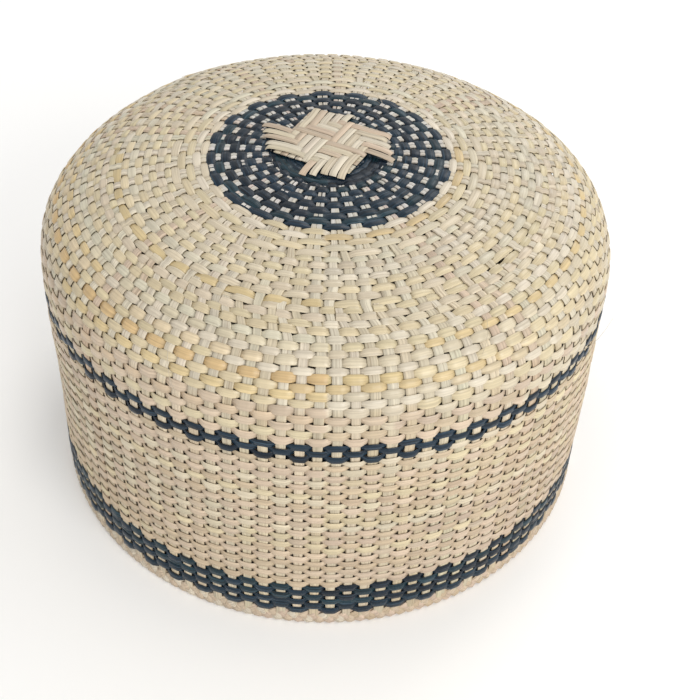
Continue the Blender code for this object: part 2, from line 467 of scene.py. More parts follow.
def write_grain(mesh, along, across, tint, wrap=0.0):
    """A UV map that runs along and across the strip in metres, and the strip's own colour at each point."""
    corner = np.zeros(len(mesh.loops), np.int32)
    mesh.loops.foreach_get("vertex_index", corner)
    starts = np.zeros(len(mesh.polygons), np.int32)
    mesh.polygons.foreach_get("loop_start", starts)
    u = along[corner].copy()
    if wrap:
        face = np.zeros(len(corner), np.int32)
        face[starts] = 1
        face = np.cumsum(face) - 1
        high = np.full(len(starts), -np.inf)
        np.maximum.at(high, face, u)
        u[u < high[face] - 0.5 * wrap] += wrap
    layer = mesh.uv_layers[0] if mesh.uv_layers else mesh.uv_layers.new()
    layer.name = "grain"
    layer.data.foreach_set("uv", np.stack([u, across[corner]], -1).astype(np.float32).ravel())
    colour = mesh.color_attributes.new(name="tint", type="FLOAT_COLOR", domain="POINT")
    rgba = np.ones((len(mesh.vertices), 4), np.float32)
    rgba[:, :3] = tint
    colour.data.foreach_set("color", rgba.ravel())


def join_pieces(name, parts, sharp=50):
    """The parts as one piece, smooth where they bend less than the sharp angle."""
    pick(*parts)
    if len(parts) > 1:
        bpy.ops.object.join()
    piece = bpy.context.view_layer.objects.active
    piece.name = name
    piece.data.name = name
    bpy.ops.object.shade_smooth_by_angle(angle=math.radians(sharp))
    return piece


def dress(piece, finish, body, *replaced):
    """Gives a finished piece its material and slot, and the body and CAD nodes that it stands for."""
    piece.data.materials.clear()
    piece.data.materials.append(finish_material(finish))
    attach(piece, body)
    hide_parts(*replaced)


class Blank:
    """A plain ring or rod, to be shaped. Its stations follow one another along it, each with the same sides."""

    def __init__(self, shape, station, side, sides):
        self.mesh = shape.data
        self.order = station * sides + side
        self.stations = int(station.max()) + 1
        self.sides = sides
        bpy.data.objects.remove(shape, do_unlink=True)

    def shaped(self, places, along, across, tint, wrap=0.0):
        """A copy of it with every corner in its place, and with its grain and colour."""
        mesh = self.mesh.copy()
        piece = bpy.data.objects.new("strip", mesh)
        bpy.context.scene.collection.objects.link(piece)
        grid = (self.stations, self.sides)
        write_places(mesh, np.broadcast_to(places, (*grid, 3)).reshape(-1, 3)[self.order])
        along, across = (np.broadcast_to(values, grid).ravel()[self.order] for values in (along, across))
        tint = np.broadcast_to(tint, (*grid, 3)).reshape(-1, 3)[self.order]
        write_grain(mesh, along, across, tint, wrap)
        return piece


def add_tube(vertices, rings):
    """An open upright tube with a ring of corners at every whole height, and each corner's angle and height."""
    deselect()
    bpy.ops.mesh.primitive_cylinder_add(
        vertices=vertices, radius=1.0, depth=1.0, end_fill_type="NOTHING", location=(0, 0, 0.5)
    )
    tube = bpy.context.active_object
    bpy.ops.object.transform_apply(location=True, rotation=True, scale=True)
    apply_modifier(
        tube, "ARRAY", count=rings - 1, use_relative_offset=False, use_constant_offset=True,
        constant_offset_displace=(0, 0, 1), use_merge_vertices=True, merge_threshold=0.001,
    )
    places = read_places(tube.data)
    around = np.arctan2(places[:, 1], places[:, 0])
    around = np.rint((around - math.pi / 2) / (math.tau / vertices)).astype(int) % vertices
    return tube, around, np.rint(places[:, 2]).astype(int)


def close_shape(piece, fill):
    """Closes a tube's open ends, by caps or by joining one to the other, with its faces outwards."""
    bpy.context.view_layer.objects.active = piece
    bpy.ops.object.mode_set(mode="EDIT")
    bpy.ops.mesh.select_mode(type="EDGE")
    bpy.ops.mesh.select_all(action="DESELECT")
    bpy.ops.mesh.select_non_manifold()
    if fill == "caps":
        bpy.ops.mesh.fill_holes(sides=0)
    else:
        bpy.ops.mesh.bridge_edge_loops()
    bpy.ops.object.mode_set(mode="OBJECT")
    turn_out(piece)


BLANKS = {}


def rod_blank(stations):
    """A straight rod with a strip's six sides."""
    if ("rod", stations) not in BLANKS:
        rod, side, station = add_tube(STRIP_SIDES, stations)
        close_shape(rod, "caps")
        BLANKS["rod", stations] = Blank(rod, station, side, STRIP_SIDES)
    return BLANKS["rod", stations]


def ring_blank(stations, sides=STRIP_SIDES):
    """A ring, from a tube whose two ends are bent out and round until they meet."""
    if ("ring", stations, sides) not in BLANKS:
        ring, station, side = add_tube(stations, sides)
        turn, around = station * math.tau / stations, side * math.tau / sides
        reach = 1.0 + 0.1 * np.cos(around)
        write_places(ring.data, turned(reach, turn, 0.1 * np.sin(around)))
        close_shape(ring, "bridge")
        BLANKS["ring", stations, sides] = Blank(ring, station, side, sides)
    return BLANKS["ring", stations, sides]


# ---- Weaving ----


# How far the chain's outer rows are drawn apart, and over which stakes.
CHAIN_BOW = 0.00045
CHAIN_PARITY = next(row.number for row in COVER_ROWS if row.band is CHAIN) % 2


def chain_bow(row, member, phase):
    """The chain's outer rows are drawn apart over one stake and together under the next, and pull on the rest."""
    away = row.distance - 0.5 * (CHAIN_START + CHAIN_END)
    if abs(away) < 0.25 * CHAIN.pitch or abs(away) > 0.016:
        return 0.0
    strength = CHAIN_BOW * math.exp(-max(abs(away) - CHAIN.pitch, 0.0) / 0.0042)
    link = np.where(member % 2 == CHAIN_PARITY, 1.0, -1.0) * np.cos(math.pi * phase)
    return math.copysign(strength, away) * link


# A weaver's way past one unit of stakes: where the spots that shape it lie, from edge (-1) to edge (1), how far out
# each is as a share of the weaver's lift, and how far along the unit's share of the row it is.
PAIR_PASS = ((-1.0, -0.5, 0.0, 0.5, 1.0), (0.92, 1.03, 1.06, 1.03, 0.92), (-0.4, -0.2, 0.0, 0.2, 0.4))
SINGLE_PASS = ((-1.0, -0.45, 0.45, 1.0), (0.95, 1.03, 1.03, 0.95), (-0.25, -0.1, 0.1, 0.25))
# An uneven hand: slow waves along the row, and a little from one crossing to the next.
ROW_WAVES = (2, 3, 5, 9, 14)
ROW_WANDER = 0.00010
CROSSING_JUMP = 0.00006


def weave_row(plan, row, sizes):
    """One weaver, from a ring: over one unit of stakes and under the next, all the way round."""
    line, band = plan.line, row.band
    draw = seeded(1000 * band.seed + row.number)
    low, high = plan.crossings(row)
    units = len(low)
    radius = float(line.radius_at(row.distance))
    reach = np.minimum(0.5 * (high - low) + 0.0001 / radius, 0.42 * math.tau / units)
    middle = 0.5 * (low + high)
    low, high = middle - reach, middle + reach
    before = 0.5 * (low + np.roll(high, 1) - np.where(np.arange(units) == 0, math.tau, 0.0))
    spots, lifts, phases = PAIR_PASS if plan.zone_at(row.distance) == 0 else SINGLE_PASS
    angle = np.column_stack([before, middle[:, None] + np.array(spots) * reach[:, None]]).ravel()
    each = len(spots) + 1
    member = np.repeat(np.arange(units), each)
    phase = np.tile((-0.5, *phases), units)
    shape = np.tile((0.0, *lifts), units)
    over = np.where((member + row.number) % 2 == 0, 1.0, -1.0)
    # here and there the weaver misses a dive and floats over the stake
    slipped = np.repeat(draw.random(units) < band.slips, each)
    over = np.where(slipped & (over < 0), 0.7, over)
    wander = sum(draw.normal(0, ROW_WANDER) * np.sin(k * angle + draw.uniform(0, math.tau)) for k in ROW_WAVES)
    jump = np.repeat(draw.normal(0, CROSSING_JUMP, units), each)
    swell = np.repeat(np.clip(draw.normal(1, 0.09, units), 0.75, 1.25), each)
    bow = chain_bow(row, member, phase) if plan is COVER_PLAN else 0.0
    distance = row.distance + wander + jump + bow
    upright = float(plan.upright(row.distance))
    begun = float(smooth_step((row.distance - plan.start.min() + 0.004) / 0.006))
    out = over * shape * swell * sizes.weaver_lift * (0.72 + 0.28 * upright) * (0.08 + 0.92 * begun)
    # the weaver is squeezed narrower where it dives
    snug = np.where(over > 0, 0.97 + 0.09 * shape, 0.97 - 0.14 * shape)
    width = row.pitch * sizes.row_cover * band.cover * snug * np.repeat(draw.normal(1, 0.02, units), each)
    across = -line.side * STRIP_ACROSS[None, :] * width[:, None]
    raised = out[:, None] + STRIP_OUT[None, :] * sizes.weaver_thickness
    along = (angle - angle[0]) * radius
    tint = spliced_tint(along, band.palette, draw, 0.12, 0.60)
    tint = tint * np.repeat(draw.normal(1, 0.025, units), each)[:, None]
    return ring_blank(len(angle)).shaped(
        line.place(angle[:, None], distance[:, None] + across, raised),
        along[:, None] + draw.uniform(0, 5),
        across + 0.02 * row.number,
        tint[:, None, :],
        math.tau * radius,
    )


def weave_band(plan, rows, band, sizes, body, *replaced):
    piece = join_pieces(band.name, [weave_row(plan, row, sizes) for row in rows if row.band is band])
    dress(piece, band.finish, body, *replaced)


# The stakes are whiter where the dyed weavers cross them, and darker and browner down the wall.
BLEACHED = (0.95, 1.02, 1.20)
BROWNER_DOWN_WALL = (0.92, 0.88, 0.82)


def stake_stations(plan, rows, stake):
    """Where a stake passes the middle of each row and the join between two rows, and which way it passes."""
    distances, ways = [float(plan.start[stake])], [0.0]
    for row in rows:
        if row.distance - 0.5 * row.pitch < plan.start[stake]:
            continue
        unit = plan.unit_of[plan.zone_at(row.distance)][stake]
        way = -1.0 if (unit + row.number) % 2 == 0 else 1.0
        distances += [row.distance, row.distance + 0.5 * row.pitch]
        ways += [way, 0.0]
    distances[-1] = plan.last
    return np.array(distances), np.array(ways)


def lay_stake(plan, rows, stake, sizes, seed):
    draw = seeded(seed * 1000 + stake)
    distances, ways = stake_stations(plan, rows, stake)
    width = plan.stake_width(distances) * draw.normal(1, 0.04)
    angle = plan.angle(distances, np.full(len(distances), stake))[:, None]
    radius = np.maximum(plan.line.radius_at(distances), 0.01)[:, None]
    flatter = 1.0 - plan.upright(distances)
    out = (ways * sizes.stake_lift * (1.0 + 1.2 * flatter))[:, None]
    across = -plan.line.side * STRIP_ACROSS[None, :] * width[:, None]
    tint = spliced_tint(distances, STAKE_PALETTE, draw, 0.30, 0.60)
    tint = tint * draw.normal(1, 0.012, (len(distances), 1))
    if plan is COVER_PLAN:
        tint = np.where(distances[:, None] < MEDALLION_END, tint * BLEACHED, tint)
        tint = np.where(distances[:, None] > SHOULDER_END, tint * BROWNER_DOWN_WALL, tint)
    return rod_blank(len(distances)).shaped(
        plan.line.place(angle + across / radius, distances[:, None], out + STRIP_OUT * sizes.stake_thickness),
        distances[:, None] + draw.uniform(0, 5),
        across + 0.02 * stake,
        tint[:, None, :],
    )


def lay_stakes(name, plan, rows, chosen, sizes, body, seed, *replaced):
    piece = join_pieces(name, [lay_stake(plan, rows, stake, sizes, seed) for stake in chosen])
    dress(piece, "stake_cane", body, *replaced)


# ---- The plaited crosses ----

STAR_TURN = math.radians(-27)
# How far each arm's longest and shortest strip reaches from the middle.
STAR_REACHES = ((0.0290, 0.0150), (0.0235, 0.0125), (0.0300, 0.0185), (0.0262, 0.0140))
STAR_ARM_WIDTH = 0.0165
STAR_STRIPS = 5
STAR_STEP = STAR_ARM_WIDTH / STAR_STRIPS
STAR_LANES = [(k + 0.5) * STAR_STEP for k in range(STAR_STRIPS)]
STAR_STRIP_THICKNESS = 0.00050
STAR_LIFT = 0.00040
STAR_FAN = 0.16
# The cross sits a little behind the middle of the rings that are woven round it.
STAR_BACK = 0.0096


def flat_strip(path, width, thickness, tint, shift):
    """A strip that follows a list of points, lying flat."""
    tangent = np.gradient(path, axis=0)
    tangent /= np.linalg.norm(tangent, axis=1, keepdims=True)
    across = np.cross(np.array([0.0, 0.0, 1.0]), tangent)
    across /= np.linalg.norm(across, axis=1, keepdims=True)
    up = np.cross(tangent, across)
    offset = -STRIP_ACROSS[None, :] * width
    length = np.concatenate([[0.0], np.cumsum(np.linalg.norm(np.diff(path, axis=0), axis=1))])
    return rod_blank(len(path)).shaped(
        path[:, None] + across[:, None] * offset[..., None] + up[:, None] * (STRIP_OUT * thickness)[None, :, None],
        length[:, None] + shift,
        offset + 0.02 * shift,
        tint,
    )


def star_course(k, reach):
    """How far along its arm each bend of an arm's strip lies, and how high: over or under each strip that it crosses,
    and down into the weave at its end."""
    free = max(reach - STAR_ARM_WIDTH, 0.004)
    along = [-STAR_ARM_WIDTH - 0.0012]
    level = [-1.2]
    for n in reversed(range(STAR_STRIPS)):
        along.append(-STAR_LANES[n])
        level.append(1.0 if k + n < STAR_STRIPS else -1.0)
    for m in range(STAR_STRIPS):
        along.append(STAR_LANES[m])
        level.append(1.0 if k + m >= STAR_STRIPS else -1.0)
    along += [STAR_ARM_WIDTH + share * free for share in (0.10, 0.55, 0.85, 1.0)]
    level += [0.8, 0.5, -0.6, -2.2]
    bends = np.arange(len(along))
    fine = np.arange(0, len(along) - 0.99, 0.5)
    return np.interp(fine, bends, along), np.interp(fine, bends, level)


def plait_star(name, line, height, back, seed):
    """Four arms of strips laid side by side. Where two arms cross, each strip comes up along the slant between them,
    which leaves a nest of arrowheads in each corner."""
    draw = seeded(seed)
    parts = []
    for arm, (longest, shortest) in enumerate(STAR_REACHES):
        turn = STAR_TURN + arm * math.pi / 2
        for k, lane in enumerate(STAR_LANES):
            reach = longest + (shortest - longest) * (k / (STAR_STRIPS - 1)) ** 1.3
            a, lift = star_course(k, reach * draw.normal(1.0, 0.015))
            fan = 1 + STAR_FAN * smooth_step((a - 0.6 * STAR_ARM_WIDTH) / 0.016)
            b = (lane + draw.normal(0, 0.00012)) * fan - 0.5 * (fan - 1) * 0.4 * STAR_ARM_WIDTH
            x = a * math.cos(turn) - b * math.sin(turn)
            y = a * math.sin(turn) + b * math.cos(turn) + back
            z = height - line.fall(np.hypot(x, y)) + lift * STAR_LIFT
            width = STAR_STEP * (0.93 + 0.05 * draw.random())
            colour = pick_colours(STAR_PALETTE, 1, draw)[0]
            path = np.stack([x, y, z], -1)
            parts.append(flat_strip(path, width, STAR_STRIP_THICKNESS, colour, draw.uniform(0, 5)))
    return join_pieces(name, parts)


# ---- Braided borders ----


def braid_strand(radius, height, lane, sizes, draw):
    """One strand of a flat braid of three that goes round the basket."""
    waves, swing, width = sizes.waves, sizes.swing, sizes.strand_width
    samples = waves * 10
    angle = np.arange(samples) * math.tau / samples
    phase = waves * angle + lane * math.tau / 3
    sideways = swing * np.sin(phase)
    out = sizes.lift * np.sin(2 * phase)
    slope = swing * waves / radius * np.cos(phase)
    size = np.sqrt(1 + slope**2)[:, None]
    across = STRIP_ACROSS[None, :] * width
    turn = angle[:, None] - across * slope[:, None] / size / radius
    level = height + sideways[:, None] + across / size
    # the braid's outer face is round: it falls away above and below
    roll = 0.9 * ((level - height) / (2 * swing + 0.5 * width)) ** 2 * 0.001
    reach = radius + out[:, None] + STRIP_OUT[None, :] * sizes.strand_thickness - roll
    along = np.arange(samples) * (math.tau * radius / samples)
    tint = spliced_tint(along, BORDER_PALETTE, draw, 0.05, 0.16)
    return ring_blank(samples).shaped(
        turned(reach, turn, level),
        along[:, None] + draw.uniform(0, 5),
        across + 0.02 * lane,
        tint[:, None, :],
        math.tau * radius,
    )


def braid(name, radius, height, sizes, seed):
    draw = seeded(seed)
    return join_pieces(name, [braid_strand(radius, height, lane, sizes, draw) for lane in range(3)])


# ---- The foot ring, the lining and the stray fibres ----


def oval_section(low, high, near, far, around):
    """Radius and height at an angle round a rounded oval."""
    c, s = np.cos(around), np.sin(around)
    r = 0.5 * (near + far) + 0.5 * (far - near) * np.sign(c) * np.abs(c) ** 0.7
    z = 0.5 * (low + high) + 0.5 * (high - low) * np.sign(s) * np.abs(s) ** 0.7
    return r, z


def oval_hoop(low, high, near, far, segments, sides, colour, ripple=None):
    """A hoop whose section is a rounded oval between two heights and two radii."""
    turn = np.arange(segments)[:, None] * math.tau / segments
    around = np.arange(sides)[None, :] * math.tau / sides
    r, z = oval_section(low, high, near, far, around)
    if ripple:
        r, z = ripple(r, z, turn)
    middle = 0.5 * (near + far)
    return ring_blank(segments, sides).shaped(
        turned(r, turn, z),
        turn * middle,
        around * 0.25 * (far - near + high - low),
        np.array(colour),
        math.tau * middle,
    )


WINDING_SPOTS = 16


def wound_strip(low, high, near, far, turns, width, thickness):
    """A strip of cane wound closely round a hoop."""
    samples = turns * WINDING_SPOTS
    step = np.arange(samples)[:, None]
    around = -step * math.tau * turns / samples
    middle = 0.5 * (near + far)
    r, z = oval_section(low, high, near, far, around)
    across = STRIP_ACROSS[None, :] * width
    out = (STRIP_OUT[None, :] + 0.5) * thickness
    turn = step * math.tau / samples + across / middle
    girth = 2 * (far - near + high - low)
    along = step[:, 0] * girth / WINDING_SPOTS
    tint = spliced_tint(along, WALL_PALETTE, seeded(51), 0.2, 0.6)
    places = turned(r + out * np.cos(around), turn, z + out * np.sin(around))
    strip = ring_blank(samples).shaped(places, along[:, None], across, tint[:, None, :], girth * turns)
    turn_out(strip)
    return strip


# How much longer the cloth is than the round that it is gathered into, for the scale of its threads.
GATHER_EASE = 1.15


def gathered_lining(name, radius, bottom, top, gathers, depth):
    """A tube of cloth in soft gathers that deepen from its hem down to the floor."""
    columns, rows = gathers * 8, 25
    cloth, around, ring = add_tube(columns, rows)
    angle = around * math.tau / columns
    down = 1.0 - ring / (rows - 1)
    draw = seeded(61)
    fold = np.cos(gathers * angle + 0.9 * np.sin(5 * angle + 1.0) + 0.5 * np.sin(11 * angle + 4 * down))
    fold += 0.35 * np.cos(0.5 * gathers * angle + draw.uniform(0, math.tau) + 2.0 * down)
    deep = depth * (0.35 + 0.65 * smooth_step(down * 1.4)) * (1 - 0.5 * smooth_step((down - 0.85) / 0.15))
    r = radius - deep * (1 - fold / 1.35) * 0.5
    z = top - (top - bottom) * down
    write_places(cloth.data, turned(r, angle, z))
    length = radius * GATHER_EASE
    write_grain(cloth.data, angle * length, z, np.tile(LINEN, (len(z), 1)), math.tau * length)
    apply_modifier(cloth, "SOLIDIFY", thickness=0.0005, offset=-1.0)
    return join_pieces(name, [cloth], 60)


def turned_hem(name, low, high, near, far):
    """A folded hem, lightly puckered by the row of stitches that holds it."""

    def ripple(r, z, angle):
        height = (z - low) / (high - low)
        seam = np.exp(-(((height - 0.28) / 0.10) ** 2))
        pucker = 0.00018 * np.cos(150 * angle + 1.5 * np.sin(7 * angle)) * (1 - height)
        inner = np.where(r < 0.5 * (near + far), 0.00035 * seam, 0.0)
        return r + inner + pucker, z + 0.0002 * np.sin(9 * angle) * height

    return join_pieces(name, [oval_hoop(low, high, near, far, 720, 12, LINEN, ripple)], 60)


def running_stitch(name, radius, height, count, length):
    """A row of short stitches round the inside of the hem."""
    along = np.linspace(-0.5, 0.5, 5)[:, None]
    bend = np.array([0.0007, -0.0001, -0.0003, -0.0001, 0.0007])[:, None]
    width = 0.00042 * np.where(np.abs(along) > 0.4, 0.6, 1.0)
    stitches = []
    draw = seeded(62)
    for k in range(count):
        turn = math.tau * k / count + draw.normal(0, 0.0006) + along * length / radius
        r = radius + bend + 0.5 * width * np.cos(THREAD_ROUND)
        z = height + draw.normal(0, 0.00008) - 0.5 * width * np.sin(THREAD_ROUND)
        places = turned(r, turn, z)
        stitches.append(rod_blank(5).shaped(places, along * length, THREAD_ROUND * 0.0002, np.array(THREAD)))
    piece = join_pieces(name, stitches, 80)
    turn_out(piece)
    return piece


# The ring of tufts that hold the pad's two faces together round its middle one.
TUFT_RING = 0.052
TUFTS = 6
STUFFING_FRAMES = 20
MOST_SWELL = 0.005


def stuffed_pad(name, low, high, radius):
    """A round pad, tufted at its middle and in a ring, swelled by cloth simulation between the tufts."""
    deselect()
    thickness = 0.55 * (high - low)
    bpy.ops.mesh.primitive_cylinder_add(
        vertices=96, radius=radius - 0.0035, depth=thickness, location=(0, 0, 0.5 * (low + high))
    )
    pad = bpy.context.active_object
    bpy.ops.object.transform_apply(location=True, rotation=True, scale=True)
    apply_modifier(pad, "REMESH", mode="VOXEL", voxel_size=0.0030)
    rest = read_places(pad.data)
    turns = [math.tau * k / TUFTS for k in range(TUFTS)]
    tufts = [(0.0, 0.0)] + [(TUFT_RING * math.cos(turn), TUFT_RING * math.sin(turn)) for turn in turns]
    away = np.min([np.hypot(rest[:, 0] - x, rest[:, 1] - y) for x, y in tufts], axis=0)
    middle = 0.5 * (low + high)
    start = rest.copy()
    start[:, 2] = middle + (rest[:, 2] - middle) * (0.30 + 0.70 * smooth_step(away / 0.010))
    write_places(pad.data, start)
    held = pad.vertex_groups.new(name="tufts")
    held.add([int(i) for i in np.flatnonzero(away < 0.0028)], 1.0, "REPLACE")
    cloth = pad.modifiers.new("stuffing", "CLOTH")
    cloth.settings.vertex_group_mass = held.name
    cloth.settings.use_pressure = True
    cloth.settings.uniform_pressure_force = 4.0
    cloth.settings.effector_weights.gravity = 0.0
    cloth.settings.mass = 0.15
    cloth.settings.tension_stiffness = 20
    cloth.settings.compression_stiffness = 20
    cloth.point_cache.frame_start = 1
    cloth.point_cache.frame_end = STUFFING_FRAMES
    for frame_number in range(1, STUFFING_FRAMES + 1):
        bpy.context.scene.frame_set(frame_number)
    graph = bpy.context.evaluated_depsgraph_get()
    swelled = read_places(pad.evaluated_get(graph).data)
    pad.modifiers.remove(cloth)
    bpy.context.scene.frame_set(1)
    move = swelled - start
    far = np.linalg.norm(move, axis=1, keepdims=True)
    start = start + move * np.minimum(1.0, MOST_SWELL / np.maximum(far, 1e-9))
    # it lies flat on the floor of the basket and keeps within its space
    start[:, 2] = np.clip(start[:, 2], low, high + 0.0015)
    reach = np.hypot(start[:, 0], start[:, 1])
    start[:, :2] *= np.minimum(1.0, (radius + 0.001) / np.maximum(reach, 1e-9))[:, None]
    write_places(pad.data, start)
    apply_modifier(pad, "SUBSURF", levels=1, render_levels=1)
    places = read_places(pad.data)
    write_grain(pad.data, places[:, 0], places[:, 1], np.tile(LINEN, (len(places), 1)))
    return join_pieces(name, [pad], 80)


# Where fibres have come loose: an angle and a distance on the cover, a heading, a length and a lift.
STRAY_FIBRES = (
    (0.98, 0.041, 0.6, 0.012, 0.0022),
    (1.02, 0.043, 1.1, 0.009, 0.0016),
    (-1.05, 0.118, 2.4, 0.022, 0.0035),
    (-2.10, 0.112, 0.3, 0.026, 0.0040),
    (-0.62, 0.141, 1.2, 0.030, 0.0045),
    (-2.55, 0.168, 2.0, 0.018, 0.0030),
    (0.20, 0.128, 0.9, 0.016, 0.0030),
    (2.20, 0.100, 1.7, 0.020, 0.0030),
    (2.90, 0.190, 2.6, 0.022, 0.0035),
)


def loose_fibres(name):
    parts = []
    draw = seeded(71)
    step = np.linspace(0, 1, 9)
    for angle, distance, heading, length, lift in STRAY_FIBRES:
        radius = float(COVER_LINE.radius_at(distance))
        curl = heading + 0.9 * step**2
        down = distance + np.cumsum(np.cos(curl)) * length / len(step)
        turn = angle + np.cumsum(np.sin(curl)) * length / len(step) / radius
        out = WEAVE_INSET + 0.0004 + lift * step**1.5
        thick = 0.00012 * (1 - 0.6 * step)[:, None]
        sideways, raised = thick * np.sin(THREAD_ROUND), thick * np.cos(THREAD_ROUND)
        places = COVER_LINE.place(turn[:, None] + sideways / radius, down[:, None], out[:, None] + raised)
        tint = pick_colours(STAKE_PALETTE, 1, draw)[0]
        parts.append(rod_blank(len(step)).shaped(places, step[:, None] * length, THREAD_ROUND * 0.0001, tint))
    piece = join_pieces(name, parts, 80)
    turn_out(piece)
    return piece


# ---- Finishes ----


class Finish(NamedTuple):
    """How a cane looks apart from its own colour."""

    # the shade of its fibres, from the darkest to the lightest, and how strongly some are streaked (on dyed cane, how
    # strongly the painted sheen is laid along them)
    dark: float
    light: float
    streak: float
    # its roughness where it is dull and where it shines, and the strength of its relief
    dull: float
    shiny: float
    relief: float
    specular: float = 0.5
    coat: float = 0.0
    # the grey-blue of the painted sheen that a dyed cane's raised fibres are given
    fade: tuple = ()


CANE_LOOKS = {
    "crown_cane": Finish(0.86, 1.05, 0.45, 0.58, 0.34, 0.25, coat=0.12),
    "wall_cane": Finish(0.84, 1.05, 0.50, 0.66, 0.44, 0.28, coat=0.03),
    # the navy cane's last colour is a painted sheen, grey-blue, along its raised fibres
    "navy_cane": Finish(0.40, 1.60, 0.85, 0.46, 0.28, 0.60, specular=0.26, coat=0.03, fade=(0.085, 0.125, 0.155)),
    "stake_cane": Finish(0.76, 1.06, 0.85, 0.68, 0.46, 0.50),
    "border_cane": Finish(0.76, 1.07, 0.60, 0.66, 0.46, 0.34),
    "star_cane": Finish(0.78, 1.06, 0.60, 0.62, 0.42, 0.32),
}


class Nodes:
    """Adds shader nodes to a material and links them, one line each."""

    def __init__(self, name):
        self.material = bpy.data.materials.new(name)
        self.material.use_nodes = True
        self.tree = self.material.node_tree
        self.tree.nodes.clear()
        self.shader = self.add("ShaderNodeBsdfPrincipled")
        output = self.add("ShaderNodeOutputMaterial")
        self.tree.links.new(self.shader.outputs["BSDF"], output.inputs["Surface"])

    def add(self, kind, **settings):
        node = self.tree.nodes.new(kind)
        set_all(node, settings)
        return node

    def link(self, out, node, socket):
        self.tree.links.new(out, node.inputs[socket])

    def grain(self, along, across):
        """Places on the strip, stretched so that a pattern is as fine along and across it as these say."""
        uv = self.add("ShaderNodeUVMap", uv_map="grain")
        mapping = self.add("ShaderNodeMapping")
        mapping.inputs["Scale"].default_value = (along, across, 1.0)
        self.link(uv.outputs["UV"], mapping, "Vector")
        return mapping.outputs["Vector"]

    def noise(self, place, detail, roughness=0.5):
        noise = self.add("ShaderNodeTexNoise")
        noise.inputs["Scale"].default_value = 1.0
        noise.inputs["Detail"].default_value = detail
        noise.inputs["Roughness"].default_value = roughness
        self.link(place, noise, "Vector")
        return noise.outputs["Fac"]

    def span(self, value, low, high, to_low, to_high):
        node = self.add("ShaderNodeMapRange", interpolation_type="SMOOTHSTEP")
        for socket, number in (("From Min", low), ("From Max", high), ("To Min", to_low), ("To Max", to_high)):
            node.inputs[socket].default_value = number
        self.link(value, node, "Value")
        return node.outputs["Result"]

    def times(self, a, b):
        node = self.add("ShaderNodeMath", operation="MULTIPLY")
        self.link(a, node, 0)
        self.link(b, node, 1)
        return node.outputs["Value"]

    def scaled(self, colour, amount):
        node = self.add("ShaderNodeVectorMath", operation="SCALE")
        self.link(colour, node, 0)
        self.link(amount, node, "Scale")
        return node.outputs["Vector"]

    def mixed(self, amount, colour, other):
        node = self.add("ShaderNodeMix", data_type="RGBA")
        node.inputs[7].default_value = (*other, 1.0)
        self.link(amount, node, 0)
        self.link(colour, node, 6)
        return node.outputs[2]

    def bump(self, height, strength, distance):
        node = self.add("ShaderNodeBump")
        node.inputs["Strength"].default_value = strength
        node.inputs["Distance"].default_value = distance
        self.link(height, node, "Height")
        self.link(node.outputs["Normal"], self.shader, "Normal")


def cane(name, look):
    """Split cane: fibres that run along the strip, darker lengths, a painted sheen along the raised fibres of dyed
    cane, and a skin that is glossier in places.
    """
    nodes = Nodes(name)
    fibres = nodes.noise(nodes.grain(32.0, 1500.0), 3.0, 0.6)
    mottle = nodes.noise(nodes.grain(24.0, 420.0), 2.0)
    skin = nodes.noise(nodes.grain(45.0, 900.0), 2.0)
    tint = nodes.add("ShaderNodeAttribute", attribute_name="tint").outputs["Color"]
    shade = nodes.span(fibres, 0.32, 0.68, look.dark, look.light)
    patch = nodes.span(mottle, 0.30, 0.70, 0.88, 1.06)
    colour = nodes.scaled(tint, nodes.times(shade, patch))
    # dyed cane: a painted sheen, grey-blue, laid on where the fibres are raised
    if look.fade:
        colour = nodes.mixed(nodes.span(fibres, 0.56, 0.80, 0.0, look.streak), colour, look.fade)
    else:
        colour = nodes.mixed(nodes.span(fibres, 0.30, 0.44, look.streak * 0.42, 0.0), colour, BROWN)
    nodes.link(colour, nodes.shader, "Base Color")
    nodes.link(nodes.span(skin, 0.30, 0.66, look.dull, look.shiny), nodes.shader, "Roughness")
    nodes.bump(fibres, look.relief, 0.00012)
    nodes.shader.inputs["Specular IOR Level"].default_value = look.specular
    nodes.shader.inputs["Coat Weight"].default_value = look.coat
    nodes.shader.inputs["Coat Roughness"].default_value = 0.30
    return nodes.material


def linen(name):
    """A plain-woven cloth with slubs, in threads about half a millimetre apart."""
    nodes = Nodes(name)
    tint = nodes.add("ShaderNodeAttribute", attribute_name="tint").outputs["Color"]
    warp = nodes.add("ShaderNodeTexWave", bands_direction="X")
    weft = nodes.add("ShaderNodeTexWave", bands_direction="Y")
    place = nodes.grain(1.0, 1.0)
    for wave in (warp, weft):
        wave.inputs["Scale"].default_value = 620.0
        wave.inputs["Distortion"].default_value = 1.2
        wave.inputs["Detail Scale"].default_value = 0.4
        nodes.link(place, wave, "Vector")
    threads = nodes.times(warp.outputs["Fac"], weft.outputs["Fac"])
    slub = nodes.noise(nodes.grain(90.0, 1500.0), 2.0)
    shade = nodes.times(nodes.span(threads, 0.0, 0.5, 0.82, 1.05), nodes.span(slub, 0.3, 0.7, 0.92, 1.05))
    nodes.link(nodes.scaled(tint, shade), nodes.shader, "Base Color")
    nodes.bump(threads, 0.5, 0.0002)
    nodes.shader.inputs["Roughness"].default_value = 0.92
    nodes.shader.inputs["Specular IOR Level"].default_value = 0.25
    nodes.shader.inputs["Sheen Weight"].default_value = 0.15
    return nodes.material


def finish_material(finish):
    """The material for a finish, made the first time that it is asked for."""
    made = bpy.data.materials.get(finish + "_finish")
    if made:
        return made
    if finish in CANE_LOOKS:
        return cane(finish + "_finish", CANE_LOOKS[finish])
    return linen(finish + "_finish")


# ---- The stage ----

